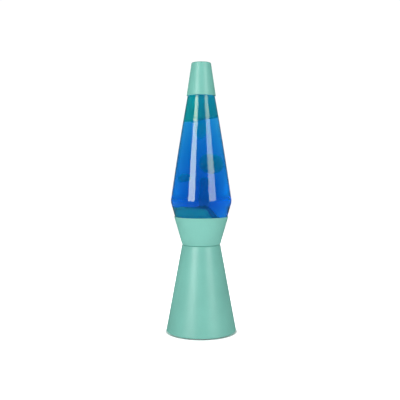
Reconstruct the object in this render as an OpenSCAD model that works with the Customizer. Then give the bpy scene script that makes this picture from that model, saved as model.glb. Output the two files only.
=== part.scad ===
// Lava lamp: a spun metal base with a conical cup, a liquid-filled glass bottle that stands in the cup,
// a metal cap over the bottle's neck, and a screw-in reflector bulb under the bottle.
// Millimetres, +Z up. The origin is on the table, on the lamp's axis. The front is -Y, the cord's inlet +Y.

/* [Base] */
// Outer diameter of the base at its foot
base_d = 105; // [96:1:130]
// Height of the waist seam above the table
base_h = 131.5; // [126:0.5:165]
// Outer diameter of the waist, where the cup meets the base
waist_d = 57; // [56:0.5:70]
// Thickness of the spun metal sheet
sheet = 0.9; // [0.7:0.05:1.1]
// Gap between the foot's metal rim and the table
foot_gap = 1.3; // [0.6:0.1:2]
// Outside radius of the bends at the foot, the waist and the cap's edge
edge_r = 1.9; // [1.4:0.1:2.2]

/* [Cup] */
// Height of the conical cup above the waist seam
collar_h = 41.5; // [36:0.5:50]
// Outer diameter of the cup at its rim
collar_d = 80.6; // [76:0.2:90]

/* [Bottle] */
// Height of the bottle's floor above the waist seam
bottle_rise = 19; // [18:0.5:24]
// Diameter of the bottle where the lines of its seat and its side cross, at the shoulder
shoulder_d = 91.2; // [88:0.2:110]
// Height of the bottle from its floor to the cap's rim
bottle_side_h = 201; // [195:1:245]
// Outer diameter of the bottle at the cap's rim
bottle_top_d = 40.4; // [39:0.2:49]
// How far the bottle's side bows out of a straight line
bottle_bow = 0.8; // [0:0.1:2]
// Thickness of the bottle's wall
glass_wall = 2.6; // [2:0.1:3.2]
// Thickness of the bottle's floor
glass_floor = 3.6; // [3:0.1:5]
// Outer diameter of the bottle's finish, under the crown cap
finish_d = 26.6; // [25:0.1:28]
// Height from the cap's rim to the bottle's mouth
neck_h = 25; // [23:0.5:30]
// Depth of the wax lying on the bottle's floor, at its middle
pool_depth = 28; // [20:0.5:32]
// Distance from the bottle's mouth down to the liquid's surface
headspace = 19; // [16:0.5:22]

/* [Cap] */
// Height of the cap
cap_h = 48.5; // [42:0.5:60]
// Outer diameter of the cap at its top
cap_top_d = 28.6; // [28:0.2:36]
// Clearance between the cap's rim and the bottle
cap_gap = 0.5; // [0.3:0.05:0.8]

/* [Bulb and lampholder] */
// Diameter of the reflector bulb
bulb_d = 39; // [35:0.5:39.5]
// Length of the bulb from its contact to its face
bulb_h = 66; // [60:0.5:72]
// Gap between the bulb's face and the bottle's floor
bulb_gap = 15.5; // [15:0.5:20]
// Clearance round the bulb where it passes the waist's opening
bulb_pass = 1.5; // [1:0.1:2]
// Pitch of the bulb's screw thread
thread_pitch = 2.822; // [2.822]
// Diameter over the bulb's thread
thread_major_d = 13.89; // [13.7:0.01:14]
// Diameter at the root of the bulb's thread
thread_minor_d = 12.29; // [12.1:0.01:12.4]
// Outer diameter of the lampholder's body
holder_d = 27; // [25:0.5:33]
// Thickness of the strap that carries the lampholder
strap = 1.2; // [1:0.1:1.6]

/* [Fittings] */
// Height of the rubber feet
foot_h = 3.2; // [2.8:0.1:4]
// Diameter of the rubber feet
foot_d = 12; // [10:0.5:15]
// Thickness of the base plate
plate = 1; // [0.8:0.1:1.4]
// Bore of the cord's inlet
inlet_d = 6.4; // [5:0.1:8]
// Diameter of an insulated conductor
wire_d = 2.2; // [1.8:0.1:2.6]

/* [Hidden] */

$fn = 96;
ROUND = 40;            // sides of small round parts
fit = 0.05;            // clearance of parts that fit closely and stay put
running = 0.3;         // clearance between bodies that move past each other
thread_gap = 0.4;      // clearance round the bulb's thread in its holder
screw_clearance = 0.2; // a screw's hole over its shank, on the radius
past = 1;              // how far a cut runs past what it cuts

// Heights of the main stations
collar_top = base_h + collar_h;
bottle_z = base_h + bottle_rise;
cap_z = bottle_z + bottle_side_h;
lamp_h = cap_z + cap_h;
mouth_z = cap_z + neck_h;
bulb_z = bottle_z - bulb_gap - bulb_h;
plate_top = foot_h + plate;
waist_under = base_h - sheet; // underside of the base's waist flange

// The slopes of the two cones, and the radii inside them
base_slope = (base_d - waist_d) / 2 / (base_h - foot_gap);
collar_slope = (collar_d - waist_d) / 2 / collar_h;
base_lean = atan(base_slope);
collar_lean = atan(collar_slope);
opening_r = bulb_d / 2 + bulb_pass;
function base_outer_r(z) = base_d / 2 - base_slope * (z - foot_gap);
function base_inner_r(z) = base_outer_r(z) - sheet / cos(base_lean);
function collar_inner_r(z) = waist_d / 2 + collar_slope * (z - base_h) - sheet / cos(collar_lean);

// ---------------------------------------------------------------- outlines

BEND_STEPS = 6;
function unit(v) = v / norm(v);
function left_of(v) = [-v[1], v[0]];
function turn_of(a, b, c) = (b - a)[0] * (c - b)[1] - (b - a)[1] * (c - b)[0];
function reversed(list) = [for (i = [len(list) - 1:-1:0]) list[i]];

// Points that round the corner b of the run a-b-c with radius r
function rounded(a, b, c, r) =
    let (u = unit(a - b),
         v = unit(c - b),
         half = acos(u * v) / 2,
         centre = b + unit(u + v) * r / sin(half),
         start = b + u * r / tan(half) - centre,
         from = atan2(start[1], start[0]),
         sweep = (180 - 2 * half) * sign(turn_of(a, b, c)))
    [for (i = [0:BEND_STEPS]) let (at = from + sweep * i / BEND_STEPS) centre + r * [cos(at), sin(at)]];

// A run of straight stretches whose inner corners are rounded, one radius each
function bent_run(points, radii) =
    let (last = len(points) - 1)
    concat([points[0]],
           [for (i = [1:last - 1]) each rounded(points[i - 1], points[i], points[i + 1], radii[i - 1])],
           [points[last]]);

// The same run moved t to its left
function moved_run(points, t) =
    let (last = len(points) - 1,
         sides = [for (i = [0:last - 1]) left_of(unit(points[i + 1] - points[i]))])
    [for (i = [0:last])
        i == 0 ? points[0] + sides[0] * t
        : i == last ? points[last] + sides[last - 1] * t
        : points[i] + (sides[i - 1] + sides[i]) * t / (1 + sides[i - 1] * sides[i])];

// Outline of sheet t thick that is bent along a run, with the run on its right-hand face
function sheet_outline(points, radii, t) =
    let (last = len(points) - 1,
         other_radii = [for (i = [1:last - 1])
             radii[i - 1] - t * sign(turn_of(points[i - 1], points[i], points[i + 1]))])
    concat(bent_run(points, radii), reversed(bent_run(moved_run(points, t), other_radii)));

// ---------------------------------------------------------------- sweeps

// A smooth path through points, with this many steps between each two
function smooth_path(points, steps) =
    let (last = len(points) - 1)
    concat([for (i = [0:last - 1], s = [0:steps - 1])
        let (t = s / steps,
             a = points[max(i - 1, 0)],
             b = points[i],
             c = points[i + 1],
             d = points[min(i + 2, last)])
        (2 * b + (c - a) * t + (2 * a - 5 * b + 4 * c - d) * t * t + (3 * b - a - 3 * c + d) * t * t * t) / 2],
        [points[last]]);

// A round tube of radius r along path; sides holds a direction across the path at each of its points
module swept(path, r, sides, around = 8) {
    last = len(path) - 1;
    along = [for (i = [0:last]) unit(path[min(i + 1, last)] - path[max(i - 1, 0)])];
    rings = [for (i = [0:last], k = [0:around - 1])
        let (u = unit(cross(along[i], sides[i])), v = cross(along[i], u), a = 360 * k / around)
        path[i] + r * (cos(a) * u + sin(a) * v)];
    walls = [for (i = [0:last - 1], k = [0:around - 1])
        let (a = i * around + k, b = i * around + (k + 1) % around)
        each [[a, b, b + around], [a, b + around, a + around]]];
    ends = [[for (k = [around - 1:-1:0]) k], [for (k = [0:around - 1]) last * around + k]];
    polyhedron(points = rings, faces = concat(walls, ends), convexity = 6);
}

// An insulated conductor through points; it never runs straight along X
WIRE_STEPS = 3;
module wire(points) {
    path = smooth_path(points, WIRE_STEPS);
    swept(path, wire_d / 2, [for (p = path) [1, 0, 0]]);
}

// ---------------------------------------------------------------- fasteners

// A cross-recessed pan-head screw: the head's underside is at z = 0 and the shank runs down
module pan_screw(shank_r, length, head_r, head_h) {
    recess = [1.1 * head_r, 0.24 * head_r, head_h];
    crown = [for (a = [0:22.5:90]) [head_r * (0.7 + 0.3 * cos(a)), head_h * (0.4 + 0.6 * sin(a))]];
    difference() {
        union() {
            rotate_extrude($fn = ROUND) polygon(concat([[0, 0], [head_r, 0]], crown, [[0, head_h]]));
            translate([0, 0, -length]) cylinder(r = shank_r, h = length, $fn = ROUND);
        }
        for (turn = [0, 90])
            rotate(turn) translate([-recess[0] / 2, -recess[1] / 2, head_h * 0.5]) cube(recess);
    }
}

// A hexagonal nut on z = 0 with a round hole
module hex_nut(flats, hole_r, height) {
    difference() {
        cylinder(r = flats / 2 / cos(30), h = height, $fn = 6);
        hole(hole_r, 0, height);
    }
}

// The round hole from z0 up to z1, cut past both
module hole(r, z0, z1) {
    translate([0, 0, z0 - past]) cylinder(r = r, h = z1 - z0 + 2 * past, $fn = ROUND);
}

// ---------------------------------------------------------------- base and cup

waist_screw_r = 1.25;
waist_head_r = 2.1;
waist_nut_h = 2;
waist_circle_r = (opening_r + waist_d / 2 - sheet - edge_r) / 2;
inlet_z = 20;
inlet_hole_r = inlet_d / 2 + 2.2;
lip = 3.2; // width of the rim that is turned in at the foot

module at_waist_screw(i) {
    rotate(120 * i - 30) translate([waist_circle_r, 0, 0]) children();
}

// Places children on the outer face of the base's rear wall at the cord's inlet, with +Z outward
module at_inlet() {
    translate([0, base_outer_r(inlet_z), inlet_z]) rotate([base_lean - 90, 0, 0]) children();
}

module base_cone() {
    color([0.49, 0.76, 0.70]) difference() {
        rotate_extrude()
            polygon(sheet_outline([[base_d / 2 - lip, foot_gap], [base_d / 2, foot_gap], [waist_d / 2, base_h],
                                   [opening_r, base_h]], [edge_r, edge_r], sheet));
        for (i = [1:3]) at_waist_screw(i) hole(waist_screw_r + screw_clearance, waist_under, base_h);
        at_inlet() hole(inlet_hole_r, -2 * sheet, 0);
    }
}

module collar() {
    color([0.53, 0.79, 0.73]) difference() {
        rotate_extrude()
            polygon(sheet_outline([[opening_r, base_h], [waist_d / 2, base_h], [collar_d / 2, collar_top]],
                                  [edge_r], sheet));
        for (i = [1:3]) at_waist_screw(i) hole(waist_screw_r + screw_clearance, base_h, base_h + sheet);
    }
}

module waist_screw(i) {
    color([0.75, 0.76, 0.78]) at_waist_screw(i) translate([0, 0, base_h + sheet])
        pan_screw(waist_screw_r, 2 * sheet + strap + waist_nut_h + 0.8, waist_head_r, 1.7);
}

module waist_nut(i) {
    color([0.72, 0.73, 0.75]) at_waist_screw(i) translate([0, 0, waist_under - strap - waist_nut_h])
        hex_nut(4.6, waist_screw_r + fit, waist_nut_h);
}

// ---------------------------------------------------------------- underside

plate_r = base_d / 2 - lip - 0.4;
plate_screw_r = 1.5;
plate_screw_circle = plate_r - 5.5;
tab_t = 1.5;
tab_w = 12;
tab_h = 11;
vent_slots = 16;
vent_w = 3;
vent_from = 29;
vent_to = 37;

module at_plate_screw(i) {
    rotate(120 * i - 90) translate([plate_screw_circle, 0, 0]) children();
}

module base_plate() {
    color([0.16, 0.16, 0.17]) difference() {
        translate([0, 0, foot_h]) cylinder(r = plate_r, h = plate);
        for (i = [1:3]) at_plate_screw(i) hole(plate_screw_r + screw_clearance, foot_h, plate_top);
        for (i = [0:vent_slots - 1]) rotate(360 / vent_slots * (i + 0.5)) {
            translate([vent_from, -vent_w / 2, foot_h - past]) cube([vent_to - vent_from, vent_w, plate + 2 * past]);
            for (x = [vent_from, vent_to]) translate([x, 0, 0]) hole(vent_w / 2, foot_h, plate_top);
        }
        at_block_screw() hole(block_screw_r + fit, foot_h, plate_top);
    }
}

// An angle tab welded to the base's inner wall along its two edges
module plate_bracket(i) {
    back_r = base_inner_r(plate_top) - tab_w * tab_w / 8 / base_inner_r(plate_top + tab_h) - 2 * fit;
    color([0.70, 0.71, 0.73]) difference() {
        rotate(120 * i - 90) translate([0, tab_w / 2, 0]) rotate([90, 0, 0]) linear_extrude(tab_w)
            polygon(sheet_outline([[plate_screw_circle - 4.5, plate_top], [back_r, plate_top],
                                   [back_r - base_slope * tab_h, plate_top + tab_h]], [2.2], tab_t));
        at_plate_screw(i) hole(plate_screw_r + fit, plate_top, plate_top + tab_t);
    }
}

module plate_screw(i) {
    color([0.75, 0.76, 0.78]) at_plate_screw(i) translate([0, 0, foot_h]) rotate([180, 0, 0])
        pan_screw(plate_screw_r, plate + tab_t + 2.5, 2.8, 1.9);
}

module rubber_foot(i) {
    color([0.10, 0.10, 0.11]) rotate(90 * i - 45) translate([plate_r - foot_d / 2 - 3.5, 0, 0])
        rotate_extrude($fn = ROUND)
            polygon([[0, 0], [foot_d / 2 - 1.2, 0], [foot_d / 2 - 0.6, 0.3], [foot_d / 2, foot_h], [0, foot_h]]);
}

// ---------------------------------------------------------------- cord's inlet and terminals

flange_t = 1.8; // thickness of the grommet's two flanges
block_y = 24;
block_l = 17;
block_base_h = 3.4;
pole_pitch = 10.5;
pole_r = 3.4;
sleeve_r = 2.3;
sleeve_l = 14;
sleeve_z = plate_top + 6;
clamp_y = 4.6; // distance of the clamping screws from the block's middle
clamp_screw_r = 1.4;
block_screw_r = 1.45;
wire_hole_r = wire_d / 2 + 0.1;

module cable_grommet() {
    groove_r = inlet_hole_r - fit;
    flange_r = inlet_hole_r + 1.4;
    fall = flange_r * flange_r / base_d + 2 * fit; // how far the round wall falls away under a flange
    inside = -sheet - fall;
    color([0.09, 0.09, 0.10]) at_inlet() rotate_extrude($fn = ROUND)
        polygon([[inlet_d / 2, inside - 2 * flange_t], [groove_r, inside - 2 * flange_t],
                 [flange_r, inside - flange_t], [flange_r, inside], [groove_r, inside], [groove_r, fit],
                 [flange_r, fit], [flange_r - 0.6, flange_t], [inlet_d / 2, flange_t]]);
}

// Places children at each pole of the terminal block, on its sleeve's axis
module at_poles() {
    for (x = [-1:1]) translate([x * pole_pitch, block_y, sleeve_z]) children();
}

// Places children on the axes of the clamping screws, at the height of the sleeves
module at_clamps() {
    at_poles() for (y = [-1, 1]) translate([0, y * clamp_y, 0]) children();
}

module at_block_screw() {
    translate([pole_pitch / 2, block_y, 0]) children();
}

// A round bar or cut along Y, centred on the origin
module lengthwise(r, l) {
    translate([0, l / 2, 0]) rotate([90, 0, 0]) cylinder(r = r, h = l, $fn = ROUND);
}

module terminal_block() {
    color([0.90, 0.90, 0.88]) difference() {
        union() {
            translate([-1.5 * pole_pitch, block_y - block_l / 2, plate_top])
                cube([3 * pole_pitch, block_l, block_base_h]);
            at_poles() lengthwise(pole_r, block_l);
            at_clamps() cylinder(r = pole_r - 0.6, h = pole_r + 2, $fn = ROUND);
        }
        at_poles() lengthwise(sleeve_r + fit, block_l + 2 * past);
        at_clamps() cylinder(r = 2, h = pole_r + 2 + past, $fn = ROUND);
        at_block_screw() hole(block_screw_r + screw_clearance, plate_top, plate_top + block_base_h);
    }
}

module terminal_sleeves() {
    color([0.80, 0.66, 0.34]) difference() {
        at_poles() lengthwise(sleeve_r, sleeve_l);
        at_poles() lengthwise(wire_hole_r, sleeve_l + 2 * past);
        at_clamps() cylinder(r = clamp_screw_r + fit, h = sleeve_r + past, $fn = ROUND);
    }
}

module terminal_screws() {
    screw_h = 3.4;
    slot = 0.5;
    color([0.78, 0.78, 0.80]) at_clamps() translate([0, 0, wire_d / 2 + 2 * fit]) difference() {
        cylinder(r = clamp_screw_r, h = screw_h, $fn = ROUND);
        translate([-2, -slot / 2, screw_h - 2 * slot]) cube([4, slot, 2]);
    }
}

module block_screw() {
    color([0.75, 0.76, 0.78]) at_block_screw() translate([0, 0, plate_top + block_base_h])
        pan_screw(block_screw_r, block_base_h + plate + 0.6, 1.8, 1.2);
}

// ---------------------------------------------------------------- lampholder and its strap

strap_w = 12;
strap_arm_x = waist_d / 2 - sheet - 1.5; // outer face of the strap's two arms
holder_floor = 3;
holder_bottom = bulb_z - 20;
washer_t = 0.8;
strap_top = holder_bottom - washer_t;
strap_z = strap_top - strap;
insert_z = bulb_z - 9;
insert_top = bulb_z - 2;
shell_z = bulb_z + 2.2;
shell_top = bulb_z + 16.8;
holder_top = bulb_z + 17.5;
insert_r = 9.2;
rim_r = 7.6; // inner radius of the insert's rim, which carries the shell
shell_r = 8.6;
leaf = 0.4;  // thickness of the contact strips
nipple_r = 5;
nipple_bore_r = 3.6;
nut_h = 2.5;
nipple_z = strap_z - nut_h - 2.5;
nipple_h = nut_h + 2.5 + strap + washer_t + holder_floor;
core_x = 1.6;     // the conductors' distance from the axis inside the nipple
terminal_x = 5;   // and where they end in the insert
contact_screw_y = 5.6;
contact_screw_r = 1.1;
earth_x = 18;
earth_screw_r = 1.5;
lug_t = 0.8;
lug_r = 3.2;
barrel_r = wire_d / 2 + 0.6;
barrel_z = strap_z - barrel_r - fit;

module at_earth() {
    translate([earth_x, 0, 0]) children();
}

module holder_bracket() {
    ring_z = waist_under - strap;
    color([0.72, 0.73, 0.75]) difference() {
        union() {
            difference() {
                translate([0, 0, ring_z]) cylinder(r = waist_d / 2 - sheet - 1.3, h = strap);
                hole(opening_r, ring_z, waist_under);
            }
            translate([0, strap_w / 2, 0]) rotate([90, 0, 0]) linear_extrude(strap_w)
                polygon(sheet_outline([[-strap_arm_x, ring_z + strap / 2], [-strap_arm_x, strap_z],
                                       [strap_arm_x, strap_z], [strap_arm_x, ring_z + strap / 2]],
                                      [3, 3], strap));
        }
        for (i = [1:3]) at_waist_screw(i) hole(waist_screw_r + screw_clearance, ring_z, waist_under);
        hole(nipple_r + screw_clearance, strap_z, strap_top);
        at_earth() hole(earth_screw_r + screw_clearance, strap_z, strap_top);
    }
}

module holder_nipple() {
    color([0.78, 0.79, 0.80]) difference() {
        translate([0, 0, nipple_z]) cylinder(r = nipple_r, h = nipple_h, $fn = ROUND);
        hole(nipple_bore_r, nipple_z, nipple_z + nipple_h);
    }
}

module holder_nut() {
    color([0.72, 0.73, 0.75]) translate([0, 0, strap_z - nut_h]) hex_nut(14, nipple_r + fit, nut_h);
}

module holder_washer() {
    teeth = 16;
    color([0.66, 0.67, 0.69]) translate([0, 0, strap_top]) difference() {
        cylinder(r = 8.5, h = washer_t, $fn = ROUND);
        hole(nipple_r + fit, 0, washer_t);
        for (i = [0:teeth - 1]) rotate(360 / teeth * i) translate([7.4, -0.4, -past]) cube([3, 0.8, 2 * past + 1]);
    }
}

module lampholder_body() {
    body_r = holder_d / 2;
    color([0.12, 0.11, 0.11]) rotate_extrude()
        polygon([[nipple_r + fit, holder_bottom], [body_r - 3.5, holder_bottom], [body_r - 3, holder_bottom + 0.5],
                 [body_r, holder_bottom + 8], [body_r, holder_top - 1], [body_r - 1, holder_top],
                 [insert_r + 0.6, holder_top], [insert_r + fit, holder_top - 0.6], [insert_r + fit, insert_z],
                 [insert_r - 1.2, insert_z], [insert_r - 1.2, holder_bottom + holder_floor],
                 [nipple_r + fit, holder_bottom + holder_floor]]);
}

module lampholder_insert() {
    color([0.92, 0.91, 0.87]) difference() {
        translate([0, 0, insert_z]) cylinder(r = insert_r, h = shell_z - insert_z, $fn = ROUND);
        hole(rim_r, insert_top + past, shell_z);
        for (x = [-terminal_x, terminal_x]) translate([x, 0, 0]) hole(wire_hole_r, insert_z, insert_top);
        for (y = [-contact_screw_y, contact_screw_y])
            translate([0, y, 0]) hole(contact_screw_r + fit, insert_z, insert_top);
        translate([shell_r - 0.4, -2.1, insert_z - past]) cube([2, 4.2, shell_z - insert_z + 2 * past]);
    }
}

// The round profile of a knuckle thread, grown by a clearance and turned up a height
module screw_thread(grow, height) {
    turns = height / thread_pitch;
    linear_extrude(height, twist = -360 * turns, slices = round(10 * turns), convexity = 6, $fn = 24)
        translate([(thread_major_d - thread_minor_d) / 4, 0])
            circle(r = (thread_major_d + thread_minor_d) / 4 + grow);
}

module lampholder_shell() {
    color([0.80, 0.64, 0.30]) difference() {
        translate([0, 0, shell_z]) cylinder(r = shell_r, h = shell_top - shell_z, $fn = ROUND);
        translate([0, 0, bulb_z]) screw_thread(thread_gap, shell_top - bulb_z + past);
    }
}

// A strip bridged over the insert, which the bulb's contact presses on
module centre_contact() {
    rise = bulb_z - 2 * fit - leaf - insert_top;
    color([0.80, 0.64, 0.30]) difference() {
        translate([-2.2, 0, 0]) rotate([90, 0, 90]) linear_extrude(4.4)
            polygon(sheet_outline([[-7.1, insert_top], [-3.6, insert_top], [-2.4, insert_top + rise],
                                   [2.4, insert_top + rise], [3.6, insert_top], [7.1, insert_top]],
                                  [0.6, 0.9, 0.9, 0.6], leaf));
        for (y = [-contact_screw_y, contact_screw_y])
            translate([0, y, 0]) hole(contact_screw_r + screw_clearance, insert_top, insert_top + leaf);
    }
}

module contact_screws() {
    color([0.76, 0.70, 0.45]) for (y = [-contact_screw_y, contact_screw_y])
        translate([0, y, insert_top + leaf]) pan_screw(contact_screw_r, 5, 1.7, 1.1);
}

module shell_contact() {
    contact_z = insert_z + 1;
    contact_top = shell_z + 6;
    color([0.80, 0.64, 0.30]) intersection() {
        difference() {
            translate([0, 0, contact_z]) cylinder(r = shell_r + fit + leaf, h = contact_top - contact_z, $fn = ROUND);
            hole(shell_r + fit, contact_z, contact_top);
        }
        translate([0, -2, contact_z - past]) cube([20, 4, contact_top - contact_z + 2 * past]);
    }
}

module earth_lug() {
    color([0.80, 0.81, 0.82]) difference() {
        union() {
            at_earth() translate([0, 0, strap_z - lug_t]) cylinder(r = lug_r, h = lug_t, $fn = ROUND);
            translate([earth_x, -6, barrel_z]) lengthwise(barrel_r, 7);
        }
        at_earth() hole(earth_screw_r + fit, strap_z - lug_t, strap_z);
        at_earth() translate([0, 0, strap_z - lug_t - nut_h - past]) cylinder(r = 3.2, h = nut_h + past, $fn = ROUND);
        translate([earth_x, -7, barrel_z]) lengthwise(wire_hole_r, 7);
    }
}

module earth_screw() {
    color([0.75, 0.76, 0.78]) at_earth() translate([0, 0, strap_top])
        pan_screw(earth_screw_r, strap + lug_t + nut_h + 0.8, 2.8, 1.9);
}

module earth_nut() {
    color([0.72, 0.73, 0.75]) at_earth() translate([0, 0, strap_z - lug_t - nut_h])
        hex_nut(5.4, earth_screw_r + fit, nut_h);
}

// The three conductors, from the block's sleeves. Live and neutral rise through the nipple to the insert.
core_start_y = block_y - clamp_y + 2;
core_leave_y = block_y - block_l / 2 - 2;

module core_to_insert(pole, side, belly) {
    wire([[pole * pole_pitch, core_start_y, sleeve_z], [pole * pole_pitch, core_leave_y, sleeve_z],
          [pole * pole_pitch + belly[0], 6, sleeve_z + 2], [side * 3, belly[1], sleeve_z + 12],
          [side * core_x, 0, nipple_z - 6], [side * core_x, 0, nipple_z + 2], [side * core_x, 0, holder_bottom + 3],
          [side * (core_x + terminal_x) / 2, 0, holder_bottom + 6.5], [side * terminal_x, 0, insert_z - 1],
          [side * terminal_x, 0, insert_z + 3.5]]);
}

module live_wire() {
    color([0.42, 0.24, 0.14]) core_to_insert(-1, -1, [0.5, -3]);
}

module neutral_wire() {
    color([0.10, 0.30, 0.66]) core_to_insert(0, 1, [1.5, 0]);
}

module earth_wire() {
    color([0.36, 0.62, 0.20])
        wire([[pole_pitch, core_start_y, sleeve_z], [pole_pitch, core_leave_y, sleeve_z],
              [12, 4, sleeve_z + 1], [15, -9, sleeve_z + 8], [earth_x, -18, strap_z - 20],
              [earth_x, -20, strap_z - 10], [earth_x, -16, barrel_z - 1.5], [earth_x, -11, barrel_z],
              [earth_x, -4.5, barrel_z]]);
}

// ---------------------------------------------------------------- bottle and its filling

heel_r = 5;
shoulder_r = 22;
SIDE_STEPS = 10;
neck_r = finish_d / 2 - 1;
function seat_r(z) = collar_inner_r(z) - running;
shoulder_z = base_h + (shoulder_d / 2 - seat_r(base_h)) / collar_slope;
side_lean = atan((shoulder_d - bottle_top_d) / 2 / (cap_z - shoulder_z));
neck_z = cap_z + 12;
bead_z = mouth_z - 7;

// The bottle's side up to a share s of its height, w inside the outer face
function side_point(s, w) =
    [shoulder_d / 2 + (bottle_top_d - shoulder_d) / 2 * s + bottle_bow * 4 * s * (1 - s) - w / cos(side_lean),
     shoulder_z + (cap_z - shoulder_z) * s];

// The bottle from the middle of a floor at floor_z up to the neck, w inside the outer face
function bottle_run(w, floor_z, neck) =
    let (heel = [seat_r(floor_z) - w / cos(collar_lean), floor_z],
         crossing = moved_run([[seat_r(bottle_z), bottle_z], [shoulder_d / 2, shoulder_z], side_point(0.1, 0)], w)[1],
         top = side_point(1, w))
    concat([[0, floor_z]],
           rounded([0, floor_z], heel, crossing, max(heel_r - w, 1)),
           rounded(heel, crossing, side_point(0.1, w), shoulder_r - w),
           [for (i = [1:SIDE_STEPS - 1]) side_point(i / SIDE_STEPS, w)],
           rounded(side_point(0.9, w), top, [neck, neck_z], 9 - w),
           rounded(top, [neck, neck_z], [neck, mouth_z], 5 + w));

module glass_bottle() {
    bore = neck_r - glass_wall - 0.6;
    finish = concat([[neck_r, bead_z - 1], [finish_d / 2, bead_z + 0.5], [finish_d / 2, mouth_z - 2]],
                    rounded([finish_d / 2, mouth_z - 2], [finish_d / 2, mouth_z], [bore, mouth_z], 1.2));
    color([0.80, 0.90, 0.95, 0.3]) rotate_extrude()
        polygon(concat(bottle_run(0, bottle_z, neck_r), finish, [[bore, mouth_z]],
                       reversed(bottle_run(glass_wall, bottle_z + glass_floor, bore))));
}

// Everything inside the bottle's wall, clear of it by gap, up to the height top
module bottle_inside(gap, top) {
    intersection() {
        rotate_extrude()
            polygon(concat(bottle_run(glass_wall + gap, bottle_z + glass_floor + gap, neck_r - glass_wall - 0.6 - gap),
                           [[0, mouth_z]]));
        translate([0, 0, bottle_z]) cylinder(r = shoulder_d, h = top - bottle_z);
    }
}

film = 0.06;       // gap between the fillings and the glass, and between wax and liquid
pool_edge = 0.62;  // height of the pool at its edge, as a share of its depth
pool_steps = 8;
coil_ring_r = 23;
coil_r = 3.8;
coil_wire_r = 0.45;
coil_turns = 24;
coil_z = bottle_z + glass_floor + coil_r + coil_wire_r + 0.3;
liquid_top = mouth_z - headspace;

// The space under the wax pool's domed surface
module under_pool(gap) {
    floor_z = bottle_z + glass_floor;
    surface = [for (i = [0:pool_steps]) let (s = i / pool_steps)
        [shoulder_d / 2 * s, floor_z + gap + pool_depth * (pool_edge + (1 - pool_edge) * cos(90 * s))]];
    rotate_extrude() polygon(concat([[0, bottle_z], [shoulder_d / 2, bottle_z]], reversed(surface)));
}

module wax_pool() {
    color([0.05, 0.55, 0.48]) difference() {
        intersection() {
            bottle_inside(film, liquid_top);
            under_pool(0);
        }
        rotate_extrude() translate([coil_ring_r, coil_z]) circle(r = coil_r + coil_wire_r + film, $fn = ROUND);
    }
}

// A coil of thin wire bent round into a ring
module wire_coil() {
    rings_a_turn = 8;
    last = coil_turns * rings_a_turn - 2;
    function ring_angle(i) = 360 * i / (last + 2);
    function coil_out(i) =
        let (a = ring_angle(i), b = 360 * i / rings_a_turn)
        [cos(b) * cos(a), cos(b) * sin(a), sin(b)];
    path = [for (i = [0:last]) let (a = ring_angle(i))
        [coil_ring_r * cos(a), coil_ring_r * sin(a), coil_z] + coil_r * coil_out(i)];
    color([0.75, 0.76, 0.78]) swept(path, coil_wire_r, [for (i = [0:last]) coil_out(i)], 6);
}

// A wax drop: half its width, half its height and its middle
BLOB_STEPS = 12;
module drop(r, h, middle, grow = 0) {
    outline = [for (i = [0:BLOB_STEPS]) let (a = -90 + 180 * i / BLOB_STEPS)
        [(r + grow) * max(cos(a), 0), (h + grow) * sin(a)]];
    translate(middle) rotate_extrude($fn = ROUND) polygon(outline);
}

// The four moving masses of wax. Each is in the liquid's hollow, and the hollow is grown by a clearance.
module wax_neck_shape(grow) {
    drop(14, 15, [0, 0, cap_z - 16.5], grow);
    drop(8, 20, [-5, -4, cap_z - 46.5], grow);
}

module wax_right_shape(grow) {
    drop(14, 16.5, [11, -7, bottle_z + 99.5], grow);
}

module wax_left_shape(grow) {
    drop(8, 9, [-20, -6, bottle_z + 79.5], grow);
}

module wax_column_shape(grow) {
    drop(5.5, 22, [3, 14, bottle_z + 58.5], grow);
}

module liquid() {
    color([0.05, 0.50, 0.85, 0.5]) difference() {
        bottle_inside(film, liquid_top);
        under_pool(film);
        wax_neck_shape(running);
        wax_right_shape(running);
        wax_left_shape(running);
        wax_column_shape(running);
    }
}

module wax_neck() {
    color([0.06, 0.55, 0.47]) wax_neck_shape(0);
}

module wax_right_blob() {
    color([0.06, 0.55, 0.47]) wax_right_shape(0);
}

module wax_left_blob() {
    color([0.06, 0.55, 0.47]) wax_left_shape(0);
}

module wax_column() {
    color([0.06, 0.55, 0.47]) wax_column_shape(0);
}

// ---------------------------------------------------------------- closure and cap

liner_t = 0.5;
crown_t = 0.3;
crown_skirt = 5;

module crown_liner() {
    color([0.85, 0.86, 0.84]) translate([0, 0, mouth_z]) cylinder(r = finish_d / 2 - 0.6, h = liner_t, $fn = ROUND);
}

module crown_cap() {
    top = mouth_z + liner_t + crown_t;
    skirt_r = finish_d / 2 + 2.4;
    color([0.78, 0.79, 0.80]) rotate_extrude()
        polygon(sheet_outline([[skirt_r, mouth_z - crown_skirt], [finish_d / 2 + 0.7, top], [0, top]],
                              [1.2], crown_t));
}

module top_cap() {
    cap_r = bottle_top_d / 2 + cap_gap + sheet;
    color([0.52, 0.79, 0.73]) rotate_extrude()
        polygon(sheet_outline([[cap_r, cap_z], [cap_top_d / 2, lamp_h], [0, lamp_h]], [edge_r], sheet));
}

// ---------------------------------------------------------------- bulb

insulator_r = 5.4;
cap_thread_z = 4.5;  // where the bulb's thread starts above its contact
cap_thread_top = 18.5;
cap_skirt_top = 25;
cap_skirt_r = 8.5;
cap_sheet = 0.5;
envelope = 0.9;
stem_top = 38;
filament_z = 47;
filament_r = 6.5;

module at_bulb() {
    translate([0, 0, bulb_z]) children();
}

module bulb_contact() {
    color([0.75, 0.74, 0.70]) at_bulb() rotate_extrude($fn = ROUND)
        polygon([[0, 0], [1.4, 0], [2.1, 0.4], [2.4, 0.9], [2.4, 1.6], [0, 1.6]]);
}

module bulb_insulator() {
    color([0.06, 0.06, 0.08]) at_bulb() rotate_extrude($fn = ROUND)
        polygon([[0, 1.6 + fit], [2.9, 1.6 + fit], [insulator_r, cap_thread_z], [insulator_r, 7], [0, 7]]);
}

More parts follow.
